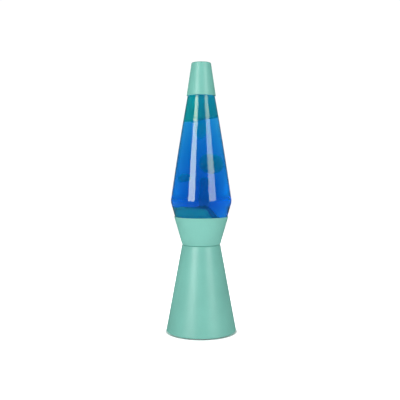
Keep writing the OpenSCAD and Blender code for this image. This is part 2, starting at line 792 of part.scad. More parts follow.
module bulb_screw_cap() {
    thread_r = thread_minor_d / 2;
    color([0.80, 0.80, 0.80]) at_bulb() difference() {
        union() {
            intersection() {
                screw_thread(0, cap_thread_top);
                translate([0, 0, cap_thread_z]) cylinder(r = shell_r, h = cap_thread_top);
            }
            rotate_extrude()
                polygon([[0, cap_thread_top - 0.6], [thread_r + 0.4, cap_thread_top - 0.6],
                         [cap_skirt_r, cap_skirt_top - 3], [cap_skirt_r, cap_skirt_top], [0, cap_skirt_top]]);
        }
        hole(insulator_r + fit, cap_thread_z, cap_thread_top);
        rotate_extrude()
            polygon([[0, cap_thread_top], [thread_r - 0.1, cap_thread_top], [cap_skirt_r - cap_sheet, cap_skirt_top - 2.9],
                     [cap_skirt_r - cap_sheet, cap_skirt_top + past], [0, cap_skirt_top + past]]);
    }
}

module bulb_glass() {
    bulb_r = bulb_d / 2;
    color([0.88, 0.89, 0.90, 0.6]) at_bulb() rotate_extrude()
        polygon(sheet_outline([[5.2, 15], [5.2, 18.5], [7.7, 25.5], [8.6, 36], [bulb_r, bulb_h - 12],
                               [bulb_r, bulb_h - 5.5], [bulb_r * 0.58, bulb_h - 0.8], [3, bulb_h], [0, bulb_h]],
                              [2, 3, 6, 5, 3, 10, 5], envelope));
}

module bulb_stem() {
    color([0.85, 0.88, 0.90, 0.6]) at_bulb() rotate_extrude($fn = ROUND)
        polygon([[0, 15], [4.2, 15], [4.2, 18], [2.4, 26], [2, stem_top - 3], [2.6, stem_top], [0, stem_top]]);
}

// The leads lean as they leave the stem, so they start half a radius above it
module bulb_lead_wires() {
    lead_r = 0.3;
    color([0.75, 0.76, 0.78]) at_bulb() for (x = [-1, 1]) {
        path = smooth_path([[x * 1.3, 0, stem_top + lead_r / 2], [x * 3, 0, stem_top + 4],
                            [x * filament_r, 0, filament_z]], 3);
        swept(path, lead_r, [for (p = path) [0, 1, 0]], 6);
    }
}

module bulb_filament() {
    steps = 14;
    path = [for (i = [0:steps]) let (a = 180 * i / steps)
        [filament_r * cos(a), -filament_r * sin(a), filament_z + 0.3 + 1.2 * sin(a)]];
    color([0.45, 0.45, 0.47]) at_bulb() swept(path, 0.35, [for (p = path) [0, 0, 1]], 6);
}

// ---------------------------------------------------------------- assembly

base_cone();
collar();
base_plate();
for (i = [1:3]) {
    plate_bracket(i);
    plate_screw(i);
    waist_screw(i);
    waist_nut(i);
}
for (i = [1:4])
    rubber_foot(i);
holder_bracket();
holder_nipple();
holder_nut();
holder_washer();
lampholder_body();
lampholder_insert();
lampholder_shell();
centre_contact();
shell_contact();
contact_screws();
cable_grommet();
terminal_block();
terminal_sleeves();
terminal_screws();
block_screw();
live_wire();
neutral_wire();
earth_wire();
earth_lug();
earth_screw();
earth_nut();
glass_bottle();
liquid();
wax_pool();
wire_coil();
crown_cap();
crown_liner();
top_cap();
bulb_contact();
bulb_glass();
bulb_screw_cap();
bulb_insulator();
bulb_stem();
bulb_lead_wires();
bulb_filament();
wax_neck();
wax_right_blob();
wax_left_blob();
wax_column();
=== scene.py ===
"""Looks of the cone-and-bottle lava lamp: its stage, glass, liquid, wax and finishes."""

import math
from functools import partial

import bmesh
import bpy
from bpy.props import FloatProperty, FloatVectorProperty, IntProperty, PointerProperty
from mathutils import Matrix, Vector, noise


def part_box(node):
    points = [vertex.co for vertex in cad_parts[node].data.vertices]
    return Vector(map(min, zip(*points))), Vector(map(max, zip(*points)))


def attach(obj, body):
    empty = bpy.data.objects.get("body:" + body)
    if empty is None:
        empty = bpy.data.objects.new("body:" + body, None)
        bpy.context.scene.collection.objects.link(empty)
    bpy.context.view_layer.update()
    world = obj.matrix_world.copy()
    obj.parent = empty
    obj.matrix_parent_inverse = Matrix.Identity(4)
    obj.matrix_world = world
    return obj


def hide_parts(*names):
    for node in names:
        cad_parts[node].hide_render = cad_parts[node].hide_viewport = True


bl_info = {
    "name": "Lava lamp looks",
    "version": (1, 0, 0),
    "blender": (4, 5, 0),
    "location": "3D View > Sidebar > Lava lamp",
    "description": (
        "Builds the bottle, its filling and the finishes of a lava lamp, and its stage"
    ),
    "category": "Object",
}

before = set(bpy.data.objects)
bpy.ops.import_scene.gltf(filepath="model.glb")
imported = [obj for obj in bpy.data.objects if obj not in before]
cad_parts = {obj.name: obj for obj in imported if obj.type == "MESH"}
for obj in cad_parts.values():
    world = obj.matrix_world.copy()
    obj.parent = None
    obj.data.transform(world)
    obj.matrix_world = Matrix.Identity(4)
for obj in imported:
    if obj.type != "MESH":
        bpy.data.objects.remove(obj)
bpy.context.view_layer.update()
MM = 0.001
ON_AXIS = 1e-6  # a smaller radius counts as the lamp's axis

# Tall lights around the lamp: name, turn from the camera in degrees, width in metres,
# the setting that holds the power, and the share of that power
SOFTBOXES = (
    ("softbox_left", -37.0, 0.60, "key", 1.0),
    ("softbox_right", 43.0, 0.65, "fill", 1.0),
    ("softbox_rear_left", -148.0, 0.60, "rear", 1.0),
    ("softbox_rear_right", 152.0, 0.60, "rear", 0.6),
)
SOFTBOX_DISTANCE, SOFTBOX_TALL, SOFTBOX_RISE = 1.3, 0.94, 0.39  # in metres
TOP_LIGHT_WIDE, TOP_LIGHT_PLACE = 1.4, (0.0, 0.2, 1.9)  # in metres
BACKDROP = 1.05  # brightness of the room where it is looked at
DARK_ROOM = 0.02  # brightness of most of the room where it is mirrored
FLOOR_GLOW = 0.82
CONTACT_SHADOW = (0.052, 0.0555)  # painted contact shadow: the floor's glow sets in between these radii, in metres
LENS, SENSOR = 57.24, 36.0  # the camera's, in mm
CAMERA_ASIDE, CAMERA_DIP = -0.0018, 3.114  # in metres, and in degrees below level

# ------------------------------------------------------------------ settings


class LampForm(bpy.types.PropertyGroup):
    """Sizes of what is modelled here around the metalwork"""

    around: IntProperty(
        name="Steps around", description="Faces round the bottle", default=160, min=32
    )
    wet_overlap: FloatProperty(
        name="Wet overlap",
        description=(
            "How far the liquid reaches into the glass, so that no air shows between them"
        ),
        default=0.00005,
        unit="LENGTH",
    )
    meniscus: FloatProperty(
        name="Meniscus",
        description="How far the liquid climbs at the glass",
        default=0.0009,
        unit="LENGTH",
    )
    flutes: IntProperty(
        name="Flutes", description="Flutes round the closure's skirt", default=21
    )
    wax_voxel: FloatProperty(
        name="Wax fineness",
        description="Grid on which lumps of wax are merged",
        default=0.0009,
        unit="LENGTH",
    )


class LampColours(bpy.types.PropertyGroup):
    """Colours of the visible finishes"""

    enamel: FloatVectorProperty(
        name="Enamel",
        description="Colour of the base, collar and cap",
        subtype="COLOR",
        size=3,
        default=(0.150, 0.427, 0.360),
    )
    liquid: FloatVectorProperty(
        name="Liquid",
        description="What the liquid lets through",
        subtype="COLOR",
        size=3,
        default=(0.0, 0.734, 0.922),
    )
    liquid_density: FloatProperty(
        name="Liquid density",
        description="How strongly the liquid absorbs, per metre",
        default=110.0,
    )
    wax: FloatVectorProperty(
        name="Wax",
        description="Colour of the warm wax below the neck",
        subtype="COLOR",
        size=3,
        default=(0.06, 0.93, 0.90),
    )
    # Painted light and shade in the neck's wax: the left colour is lighter, as if lit, and
    # the right one darker and bluer, as if in shade
    neck_wax_painted_lit_left: FloatVectorProperty(
        name="Neck wax, left",
        description="Colour of the wax gathered in the neck, to the left of the axis",
        subtype="COLOR",
        size=3,
        default=(0.04, 0.90, 0.86),
    )
    neck_wax_painted_shade_right: FloatVectorProperty(
        name="Neck wax, right",
        description="Colour of the wax gathered in the neck, to the right of the axis",
        subtype="COLOR",
        size=3,
        default=(0.04, 0.69, 0.92),
    )
    wax_inside: FloatVectorProperty(
        name="Wax, inside",
        description="What the depth of the wax lets through",
        subtype="COLOR",
        size=3,
        default=(0.2, 0.96, 0.0),
    )
    wax_density: FloatProperty(
        name="Wax density",
        description="How strongly the wax absorbs, per metre",
        default=20.0,
    )
    pool_wax: FloatVectorProperty(
        name="Pool wax",
        description="Colour of the wax lying at the bottom",
        subtype="COLOR",
        size=3,
        default=(0.02, 0.85, 0.68),
    )


class LampStudio(bpy.types.PropertyGroup):
    """Lights, surroundings and viewpoint"""

    key: FloatProperty(
        name="Left softbox", description="Its power in watts", default=11.5
    )
    fill: FloatProperty(
        name="Right softbox", description="Its power in watts", default=7.4
    )
    top: FloatProperty(
        name="Top light", description="Its power in watts", default=4.0
    )
    rear: FloatProperty(
        name="Rear softboxes", description="Power of the left one in watts", default=6.0
    )
    surround: FloatProperty(
        name="Surround", description="Brightness of the room's soft light", default=0.25
    )
    distance: FloatProperty(
        name="Distance",
        description="From the lamp's axis to the camera",
        default=0.946,
        unit="LENGTH",
    )
    height: FloatProperty(
        name="Height",
        description="Of the camera above the table",
        default=0.249,
        unit="LENGTH",
    )


# ------------------------------------------------------------------ shader building


class Value:
    """A shader socket that can be used in Python arithmetic."""

    def __init__(self, graph, socket):
        self.graph, self.socket = graph, socket

    def math(self, operation, *others):
        settings = {"operation": operation}
        inputs = dict(enumerate([self, *others]))
        return self.graph.node("ShaderNodeMath", settings, inputs)

    def __add__(self, other):
        return self.math("ADD", other)

    def __sub__(self, other):
        return self.math("SUBTRACT", other)

    def __rsub__(self, other):
        return self * -1.0 + other

    def __mul__(self, other):
        return self.math("MULTIPLY", other)

    __radd__, __rmul__ = __add__, __mul__

    def between(self, low, high):
        """0 below low, 1 above high, and smooth between them"""
        settings = {"interpolation_type": "SMOOTHSTEP"}
        inputs = {"Value": self, "From Min": low, "From Max": high}
        return self.graph.node("ShaderNodeMapRange", settings, inputs)


class Graph:
    """The nodes of a material or a world."""

    def __init__(self, tree, result):
        self.tree = tree
        tree.nodes.clear()
        self.result = self.node(result, output=None)

    def node(self, kind, settings=None, inputs=None, output=0):
        """Adds a node: first its settings, then the values or links of its sockets.

        Gives one of its outputs, or the node itself where output is None."""
        made = self.tree.nodes.new(kind)
        for key, value in (settings or {}).items():
            setattr(made, key, value)
        for key, value in (inputs or {}).items():
            self.feed(made.inputs[key], value)
        return made if output is None else Value(self, made.outputs[output])

    def feed(self, socket, value):
        """Links a Value to a socket, or sets the socket to a number or a colour"""
        if isinstance(value, Value):
            self.tree.links.new(value.socket, socket)
        elif socket.type == "RGBA" and len(value) == 3:
            socket.default_value = (*value, 1.0)
        else:
            socket.default_value = value

    def end(self, name, value):
        """Feeds the output node"""
        self.feed(self.result.inputs[name], value)

    def rays(self, *kinds):
        """For each kind of ray, a value that is 1 where the ray is of that kind"""
        path = self.node("ShaderNodeLightPath", output=None)
        return [Value(self, path.outputs[f"Is {kind} Ray"]) for kind in kinds]

    def along(self, axis, place):
        """One coordinate of a place"""
        return self.node("ShaderNodeSeparateXYZ", inputs={0: place}, output=axis)


class Finish(Graph):
    """A material built round one Principled shader."""

    def __init__(self, name, **plain):
        self.material = bpy.data.materials.new(name)
        self.material.use_nodes = True
        super().__init__(self.material.node_tree, "ShaderNodeOutputMaterial")
        self.shader = self.node("ShaderNodeBsdfPrincipled", output=None)
        self.surface = Value(self, self.shader.outputs["BSDF"])
        self.end("Surface", self.surface)
        for socket, value in plain.items():
            self.set(socket.replace("_", " "), value)

    def set(self, name, value):
        """Feeds a socket of the Principled shader"""
        self.feed(self.shader.inputs[name], value)

    def absorb(self, colour, density):
        """Lets light through by depth, in a colour"""
        inputs = {"Color": colour, "Density": density}
        self.end("Volume", self.node("ShaderNodeVolumeAbsorption", inputs=inputs))

    def place(self):
        """Where a point is in the lamp, in metres"""
        return self.node("ShaderNodeTexCoord", output="Object")

    def height(self):
        """How high a point is above the table, in metres"""
        return self.along("Z", self.place())

    def stretched(self, x, y, z):
        """The place with each axis scaled. A pattern is drawn out along the small ones."""
        inputs = {0: self.place(), 1: (x, y, z)}
        return self.node("ShaderNodeVectorMath", {"operation": "MULTIPLY"}, inputs)

    def grain(self, size, detail=2.0, roughness=0.5, where=None, distortion=0.0):
        """Noise from 0 to 1 with features of a size in metres"""
        inputs = {
            "Vector": where or self.place(),
            "Scale": 1.0 / size,
            "Detail": detail,
            "Roughness": roughness,
            "Distortion": distortion,
        }
        return self.node("ShaderNodeTexNoise", inputs=inputs, output="Fac")

    def mix(self, share, low, high):
        """The low colour where share is 0, and the high colour where it is 1"""
        inputs = {0: share, 6: low, 7: high}
        return self.node("ShaderNodeMix", {"data_type": "RGBA"}, inputs, output=2)

    def bump(self, height, depth, strength):
        """A normal for a height from 0 to 1 that is worth a depth in metres"""
        inputs = {"Height": height, "Distance": depth, "Strength": strength}
        return self.node("ShaderNodeBump", inputs=inputs)


def shade(colour, factor):
    """A colour made darker or lighter"""
    return tuple(min(1.0, c * factor) for c in colour)


# ------------------------------------------------------------------ mesh building


def add_object(name, data):
    """An object in the scene"""
    made = bpy.data.objects.new(name, data)
    bpy.context.scene.collection.objects.link(made)
    return made


def make_piece(name, bm, materials, body, stands_for, sharp=40.0):
    """Turns a bmesh into a piece that rides on a body and stands for CAD nodes.

    Edges that turn by more degrees than sharp are shaded as edges."""
    mesh = bpy.data.meshes.new(name)
    bmesh.ops.recalc_face_normals(bm, faces=bm.faces)
    bm.to_mesh(mesh)
    bm.free()
    for polygon in mesh.polygons:
        polygon.use_smooth = True
    mesh.set_sharp_from_angle(angle=math.radians(sharp))
    for material in materials:
        mesh.materials.append(material)
    piece = add_object(name, mesh)
    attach(piece, body)
    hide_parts(*stands_for)
    return piece


def outline(node):
    """The half section of a turned CAD node, as (radius, height) points in their order.

    It starts at the lowest point, nearest to the axis."""
    digits = 7
    bm = bmesh.new()
    bm.from_mesh(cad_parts[node].data)
    bmesh.ops.remove_doubles(bm, verts=bm.verts, dist=10**-digits)
    cut = bmesh.ops.bisect_plane(
        bm,
        geom=bm.verts[:] + bm.edges[:] + bm.faces[:],
        plane_co=(0, 0, 0),
        plane_no=(0, 1, 0),
    )["geom_cut"]
    linked = {}
    for edge in (e for e in cut if isinstance(e, bmesh.types.BMEdge)):
        a, b = (tuple(round(c, digits) for c in (v.co.x, v.co.z)) for v in edge.verts)
        if min(a[0], b[0]) > -ON_AXIS and a != b:
            linked.setdefault(a, set()).add(b)
            linked.setdefault(b, set()).add(a)
    bm.free()
    ends = [p for p, near in linked.items() if len(near) == 1] or list(linked)
    at, before = min(ends, key=lambda p: (p[1], p[0])), None
    walk = [at]
    while True:
        ahead = [p for p in linked[at] if p != before and p not in walk[-3:]]
        if not ahead or len(walk) > len(linked):
            return walk
        before, at = at, ahead[0]
        walk.append(at)


def eased(points, steps=3, corner=14.0):
    """The points with curves between them where they turn gently.

    Corners that turn by more degrees than corner are kept."""
    shortest = 2e-5
    vectors = [Vector(p) for p in points]
    kept = [vectors[0]]
    for p in vectors[1:]:
        if (p - kept[-1]).length > shortest:
            kept.append(p)
    last = len(kept) - 1
    sharp = {0, last}
    for i in range(1, last):
        turn = (kept[i] - kept[i - 1]).angle(kept[i + 1] - kept[i])
        if math.degrees(turn) > corner:
            sharp.add(i)
    done = []
    for i in range(last):
        a, b = kept[i], kept[i + 1]
        leave = reach = b - a
        if i not in sharp:
            leave = (b - kept[i - 1]).normalized() * (b - a).length
        if i + 1 not in sharp:
            reach = (kept[i + 2] - a).normalized() * (b - a).length
        for k in range(steps):
            t = k / steps
            h1, h2 = 2 * t**3 - 3 * t**2 + 1, t**3 - 2 * t**2 + t
            h3, h4 = -2 * t**3 + 3 * t**2, t**3 - t**2
            done.append(a * h1 + leave * h2 + b * h3 + reach * h4)
    done.append(kept[-1])
    return [(max(p.x, 0.0), p.y) for p in done]


def closed(profile):
    """The profile with both ends brought to the axis"""
    start = [] if profile[0][0] < ON_AXIS else [(0.0, profile[0][1])]
    end = [] if profile[-1][0] < ON_AXIS else [(0.0, profile[-1][1])]
    return [*start, *profile, *end]


def highest(profile):
    """The number of a profile's highest point"""
    return max(range(len(profile)), key=lambda i: profile[i][1])


def ring(bm, around, point_at):
    """Adds vertices round the axis. point_at(k, angle) gives the radius and the height."""
    made = []
    for k in range(around):
        angle = 2 * math.pi * k / around
        r, z = point_at(k, angle)
        made.append(bm.verts.new((r * math.cos(angle), r * math.sin(angle), z)))
    return made


def skin(bm, rings, around, material_at=None):
    """Joins each ring to the next one. A ring of one vertex becomes the middle of a fan.

    material_at(index) gives the material slot of the faces that start at a ring."""
    for index, (low, high) in enumerate(zip(rings, rings[1:])):
        for k in range(around):
            after = (k + 1) % around
            corners = [low[k % len(low)], low[after % len(low)]]
            corners += [high[after % len(high)], high[k % len(high)]]
            unique = list(dict.fromkeys(corners))
            if len(unique) > 2:
                face = bm.faces.new(unique)
                if material_at:
                    face.material_index = material_at(index)


def turned(profile, around, radius_at=lambda r, z, angle: r, material_at=None):
    """A bmesh of a profile turned about the lamp's axis. Ends on the axis close in a fan.

    radius_at(r, z, angle) can change the radius on the way round."""
    bm = bmesh.new()
    rings = []
    for r, z in profile:
        if r < ON_AXIS:
            rings.append([bm.verts.new((0, 0, z))])
        else:
            rings.append(ring(bm, around, lambda k, angle: (radius_at(r, z, angle), z)))
    skin(bm, rings, around, material_at)
    return bm


def lump(bm, centre, radii):
    """Adds a round lump of wax to a bmesh"""
    matrix = Matrix.Translation(centre) @ Matrix.Diagonal((*radii, 1.0))
    bmesh.ops.create_icosphere(bm, subdivisions=4, radius=1.0, matrix=matrix)


# ------------------------------------------------------------------ finishes


def colours():
    """The colour settings"""
    return bpy.context.scene.lamp_colours


def form():
    """The size settings"""
    return bpy.context.scene.lamp_form


def enamel():
    """Powder-coated mint: a fine grain and faint clouding"""
    colour = tuple(colours().enamel)
    f = Finish("mint_powder_coat", IOR=1.5, Specular_IOR_Level=0.7)
    cloud = f.grain(0.045, 3.0)
    grain = f.grain(0.0009, 2.0, 0.6)
    fine = f.grain(0.00035, 1.0)
    tone = f.mix(cloud.between(0.3, 0.7), shade(colour, 0.95), shade(colour, 1.04))
    tone = f.mix(grain.between(0.35, 0.7) * 0.35, tone, shade(colour, 0.86))
    f.set("Base Color", tone)
    f.set("Roughness", 0.31 + grain * 0.10 + cloud * 0.05)
    height = grain * 0.7 + fine * 0.3
    f.set("Normal", f.bump(height, 0.00006, 0.6))
    return f.material


def glass():
    """Clear bottle glass, blown a little uneven"""
    f = Finish(
        "bottle_clear_glass",
        Roughness=0.0,
        IOR=1.5,
        Transmission_Weight=1.0,
        Specular_Tint=(0.8, 1.0, 0.3, 1.0),
        Coat_Weight=1.0,
        Coat_Roughness=0.02,
        Coat_IOR=1.39,
    )
    f.set("Base Color", (0.985, 0.995, 0.992))
    wave = f.grain(0.05, 1.0, where=f.stretched(1.0, 1.0, 0.35))
    f.set("Normal", f.bump(wave, 0.0003, 0.3))
    return f.material


def wet_glass():
    """The bottle's inner face below the liquid's level.

    Its IOR is the glass's over the liquid's, so it bends light as the real boundary does
    and mirrors almost nothing."""
    f = Finish("bottle_wet_face", Roughness=0.0, IOR=1.125, Transmission_Weight=1.0)
    f.set("Base Color", (1.0, 1.0, 1.0))
    return f.material


def liquid():
    """Dyed water. The wet face of the glass bends the light, so its own surface doesn't."""
    f = Finish("dyed_blue_liquid", Roughness=0.0, IOR=1.0, Transmission_Weight=1.0)
    f.set("Base Color", (1.0, 1.0, 1.0))
    f.absorb(colours().liquid, colours().liquid_density)
    return f.material


def wax_surface(name, through, tones_at):
    """Faintly streaked wax whose IOR is the wax's over the liquid's.

    tones_at(finish, streak) gives its colour and the colour of its streaks."""
    f = Finish(
        name,
        IOR=1.02,
        Transmission_Weight=through,
        Specular_IOR_Level=0.1,
        Subsurface_Weight=0.5,
        Subsurface_Scale=0.01,
        Subsurface_Radius=(0.6, 1.0, 0.8),
    )
    streak = f.grain(0.012, 2.0, where=f.stretched(1.0, 1.0, 0.5), distortion=0.8)
    tone, dark = tones_at(f, streak)
    f.set("Base Color", f.mix(streak.between(0.35, 0.75) * 0.3, tone, dark))
    f.set("Roughness", 0.25 + streak * 0.2)
    f.set("Normal", f.bump(streak, 0.0004, 0.3))
    return f


def wax():
    """Translucent wax that tints with depth. In the neck it is greener and lighter on the
    left, as painted light, and bluer and darker on the right, as painted shade
    """
    c = colours()
    warm, left, right = (tuple(v) for v in (c.wax, c.neck_wax_painted_lit_left, c.neck_wax_painted_shade_right))
    waver = 0.006  # how far the streaks push the borders between the colours
    left_ends, right_starts = -0.006, 0.004
    warm_ends, neck_starts = 0.308, 0.320

    def tones_at(f, streak):
        across = f.along("X", f.place()) + streak * waver
        # painted light and shade: the lighter colour on the left, the darker, bluer one on
        # the right
        neck = f.mix(across.between(left_ends, right_starts), left, right)
        high = (f.height() + streak * waver).between(warm_ends, neck_starts)
        return f.mix(high, warm, neck), shade(left, 0.9)

    f = wax_surface("green_lamp_wax", 0.92, tones_at)
    f.absorb(c.wax_inside, c.wax_density)
    return f.material


def settled_wax():
    """The denser wax of the pool"""
    tone = tuple(colours().pool_wax)
    tones = tone, shade(tone, 0.75)
    return wax_surface("settled_lamp_wax", 0.8, lambda f, streak: tones).material


def metal(name, colour, rough):
    """Plated or bare metal with faint rolling marks and dull patches"""
    f = Finish(name, Metallic=1.0)
    patch = f.grain(0.006, 3.0)
    marks = f.grain(0.0004, 2.0, where=f.stretched(1.0, 1.0, 0.15))
    f.set("Base Color", f.mix(patch.between(0.35, 0.7), colour, shade(colour, 0.8)))
    f.set("Roughness", rough + patch * 0.10 + marks * 0.08)
    f.set("Normal", f.bump(marks, 0.00002, 0.4))
    return f.material


def moulded(name, colour, rough, grain=0.0006, depth=0.00003, coat=0.0):
    """Moulded plastic, rubber or ceramic with a fine grain and faint mottling"""
    f = Finish(name, Coat_Weight=coat, Coat_Roughness=0.15)
    patch = f.grain(0.008, 3.0)
    fine = f.grain(grain, 2.0)
    dark, pale = shade(colour, 0.9), shade(colour, 1.08)
    f.set("Base Color", f.mix(patch.between(0.3, 0.7), dark, pale))
    f.set("Roughness", rough + fine * 0.12 + patch * 0.06 - 0.08)
    f.set("Normal", f.bump(fine, depth, 0.5))
    return f.material


def striped(name, colour, stripe):
    """Insulation of two colours"""
    f = Finish(name)
    wave = f.node(
        "ShaderNodeTexWave",
        {"wave_type": "BANDS", "bands_direction": "DIAGONAL"},
        {"Vector": f.place(), "Scale": 90.0, "Distortion": 1.0},
        output="Fac",
    )
    fine = f.grain(0.0005)
    f.set("Base Color", f.mix(wave.between(0.48, 0.52), colour, stripe))
    f.set("Roughness", 0.42 + fine * 0.1)
    f.set("Normal", f.bump(fine, 0.00002, 0.4))
    return f.material


def bulb_envelope():
    """Reflector bulb: silvered neck and cone, frosted face"""
    f = Finish("frosted_bulb", IOR=1.5, Transmission_Weight=0.7)
    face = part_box("bulb_glass")[1].z
    silvered, clear = face - 0.0135, face - 0.0115  # full silver below, none above
    silver = 1.0 - f.height().between(silvered, clear)
    frost = f.grain(0.0004, 2.0)
    f.set("Base Color", f.mix(silver, (0.93, 0.94, 0.95), (0.86, 0.87, 0.88)))
    f.set("Metallic", silver)
    f.set("Roughness", silver * -0.3 + 0.45 + frost * 0.08)
    f.set("Normal", f.bump(frost, 0.00003, 0.5))
    return f.material


def stem_glass():
    """Clear glass that holds the filament's wires"""
    f = Finish("clear_stem_glass", IOR=1.5, Transmission_Weight=1.0, Roughness=0.02)
    f.set("Base Color", (0.93, 0.97, 0.96))
    f.set("Normal", f.bump(f.grain(0.003), 0.0001, 0.4))
    return f.material


def black_enamel():
    """Baked black, slightly pebbled"""
    f = Finish("black_stove_enamel")
    grain = f.grain(0.0011, 2.0, 0.6)
    patch = f.grain(0.02, 3.0)
    f.set("Base Color", f.mix(patch, (0.030, 0.030, 0.031), (0.055, 0.055, 0.058)))
    f.set("Roughness", 0.36 + grain * 0.16)
    f.set("Normal", f.bump(grain, 0.00008, 0.6))
    return f.material


# The finish of each CAD material
FINISHES = {
    "mint_enamel": enamel,
    "black_enamel": black_enamel,
    "zinc_steel": partial(metal, "zinc_plated_steel", (0.62, 0.63, 0.66), rough=0.26),
    "black_rubber": partial(
        moulded,
        "black_rubber_foot",
        (0.022, 0.022, 0.023),
        rough=0.72,
        grain=0.0005,
        depth=0.00006,
    ),
    "dark_bakelite": partial(
        moulded,
        "dark_moulding",
        (0.045, 0.03, 0.024),
        rough=0.34,
        grain=0.0009,
        depth=0.00002,
        coat=0.3,
    ),
    "white_insulator": partial(
        moulded,
        "white_glazed_insulator",
        (0.78, 0.76, 0.71),
        rough=0.24,
        grain=0.0012,
        depth=0.00002,
        coat=0.5,
    ),
    "contact_brass": partial(metal, "bright_brass", (0.83, 0.62, 0.28), rough=0.24),
    "white_nylon": partial(moulded, "milky_nylon", (0.74, 0.74, 0.70), rough=0.42),
    "brown_insulation": partial(
        moulded, "brown_wire_sleeve", (0.14, 0.05, 0.022), rough=0.4
    ),
    "blue_insulation": partial(
        moulded, "blue_wire_sleeve", (0.02, 0.12, 0.45), rough=0.4
    ),
    "earth_insulation": partial(
        striped, "green_yellow_wire_sleeve", (0.10, 0.35, 0.05), (0.80, 0.68, 0.05)
    ),
    "tinned_copper": partial(
        metal, "tinned_copper_lug", (0.72, 0.71, 0.69), rough=0.28
    ),
    "tinplate": partial(metal, "tin_plate", (0.70, 0.69, 0.67), rough=0.36),
    "cap_aluminium": partial(metal, "bare_aluminium", (0.80, 0.80, 0.81), rough=0.34),
    "grey_liner": partial(
        moulded, "grey_sealing_liner", (0.35, 0.35, 0.34), rough=0.6
    ),
    "frosted_bulb_glass": bulb_envelope,
    "stem_glass": stem_glass,
    "dark_vitrite": partial(
        moulded,
        "dark_glass_insulator",
        (0.012, 0.012, 0.02),
        rough=0.15,
        grain=0.002,
        depth=0.00002,
        coat=0.8,
    ),
    "tungsten": partial(metal, "grey_tungsten", (0.35, 0.35, 0.36), rough=0.42),
}


# ------------------------------------------------------------------ operators


class LAMP_OT_stage(bpy.types.Operator):
    """Makes the floor, the soft surround, the lights and the camera"""

    bl_idname = "lamp.stage"
    bl_label = "Stage"

    def softbox(self, name, turn, wide, power):
        """A tall soft light turned to the lamp's axis. Only those in front can be seen."""
        light = bpy.data.lights.new(name, "AREA")
        light.shape, light.size, light.size_y = "RECTANGLE", wide, SOFTBOX_TALL
        light.energy = power
        low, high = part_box("glass_bottle")
        middle = Vector((0, 0, (low.z + high.z) / 2))
        angle = math.radians(turn)
        aside = SOFTBOX_DISTANCE * math.sin(angle)
        ahead = SOFTBOX_DISTANCE * math.cos(angle)
        at = add_object(name, light)
        at.location = middle + Vector((aside, -ahead, SOFTBOX_RISE))
        inward = Vector((0, 0, at.location.z)) - at.location
        at.rotation_euler = inward.to_track_quat("-Z", "Y").to_euler()
        in_front = abs(turn) < 90.0
        at.visible_camera = at.visible_transmission = at.visible_glossy = in_front

    def top_light(self, power):
        """A round soft light over the lamp, a little behind it"""
        light = bpy.data.lights.new("softbox_top", "AREA")
        light.shape, light.size, light.energy = "DISK", TOP_LIGHT_WIDE, power
        add_object("softbox_top", light).location = TOP_LIGHT_PLACE

    def room(self, surround):
        """Even soft light. Polished things mirror a dark room, pale overhead and behind."""
        world = bpy.data.worlds.new("soft_room")
        bpy.context.scene.world = world
        world.use_nodes = True
        sky = Graph(world.node_tree, "ShaderNodeOutputWorld")
        camera, glossy, reflected, through = sky.rays(
            "Camera", "Glossy", "Reflection", "Transmission"
        )
        seen = camera.math("MAXIMUM", through)
        mirrored = glossy * reflected
        way = sky.node("ShaderNodeTexCoord", output="Generated")
        overhead = sky.along("Z", way).between(0.45, 0.85) * 0.5
        behind = sky.along("Y", way).between(0.88, 0.99) * 0.9
        pale = overhead + behind + DARK_ROOM
        even = seen * (BACKDROP - surround) + surround
        strength = mirrored * pale + (1.0 - mirrored) * even
        inputs = {"Color": (1, 1, 1), "Strength": strength}
        sky.end("Surface", sky.node("ShaderNodeBackground", inputs=inputs))

    def paper(self):
        """White paper that glows, but not under the lamp, where a contact shadow is
        painted, or in its mirror images.

        From below it can be seen through."""
        white, pale, black = (0.86, 0.86, 0.86), (0.90, 0.90, 0.90), (0, 0, 0)
        f = Finish("white_paper", Roughness=0.9, Specular_IOR_Level=0.1)
        camera, glossy, reflected, through = f.rays(
            "Camera", "Glossy", "Reflection", "Transmission"
        )
        in_mirrors, in_glass = 0.97, 0.12  # how much less of the floor shows there
        dimmed = (glossy * reflected * in_mirrors).math("MAXIMUM", through * in_glass)
        tooth = f.mix(f.grain(0.004, 3.0), white, pale)
        f.set("Base Color", f.mix(dimmed, tooth, black))
        inputs = {0: f.place()}
        radius = f.node("ShaderNodeVectorMath", {"operation": "LENGTH"}, inputs, "Value")
        # painted contact shadow: the camera sees no glow under the lamp's rim
        shadow = 1.0 - radius.between(*CONTACT_SHADOW)
        unlit = dimmed.math("MAXIMUM", camera * shadow)
        f.set("Emission Color", f.mix(unlit, (1, 1, 1), black))
        f.set("Emission Strength", FLOOR_GLOW)
        below = f.node("ShaderNodeNewGeometry", output="Backfacing")
        clear = f.node("ShaderNodeBsdfTransparent")
        inputs = {0: below, 1: f.surface, 2: clear}
        f.end("Surface", f.node("ShaderNodeMixShader", inputs=inputs))
        return f.material

    def floor(self):
        """A wide pale floor"""
        bm = bmesh.new()
        bmesh.ops.create_grid(bm, x_segments=8, y_segments=8, size=6.0)
        mesh = bpy.data.meshes.new("floor")
        bm.to_mesh(mesh)
        bm.free()
        mesh.materials.append(self.paper())
        floor = add_object("floor", mesh)

    def camera(self, distance, height):
        """The camera in front of the lamp, dipped a little"""
        camera = bpy.data.cameras.new("camera")
        camera.lens, camera.sensor_width = LENS, SENSOR
        camera.clip_start, camera.clip_end = 0.01, 50.0
        eye = add_object("camera", camera)
        eye.location = (CAMERA_ASIDE, -distance, height)
        eye.rotation_euler = (math.radians(90 - CAMERA_DIP), 0, 0)
        bpy.context.scene.camera = eye

    def execute(self, context):
        studio = context.scene.lamp_studio
        context.scene.view_settings.view_transform = "Standard"
        context.scene.view_settings.look = "None"
        self.room(studio.surround)
        self.floor()
        for name, turn, wide, setting, share in SOFTBOXES:
            self.softbox(name, turn, wide, getattr(studio, setting) * share)
        self.top_light(studio.top)
        self.camera(studio.distance, studio.height)
        return {"FINISHED"}


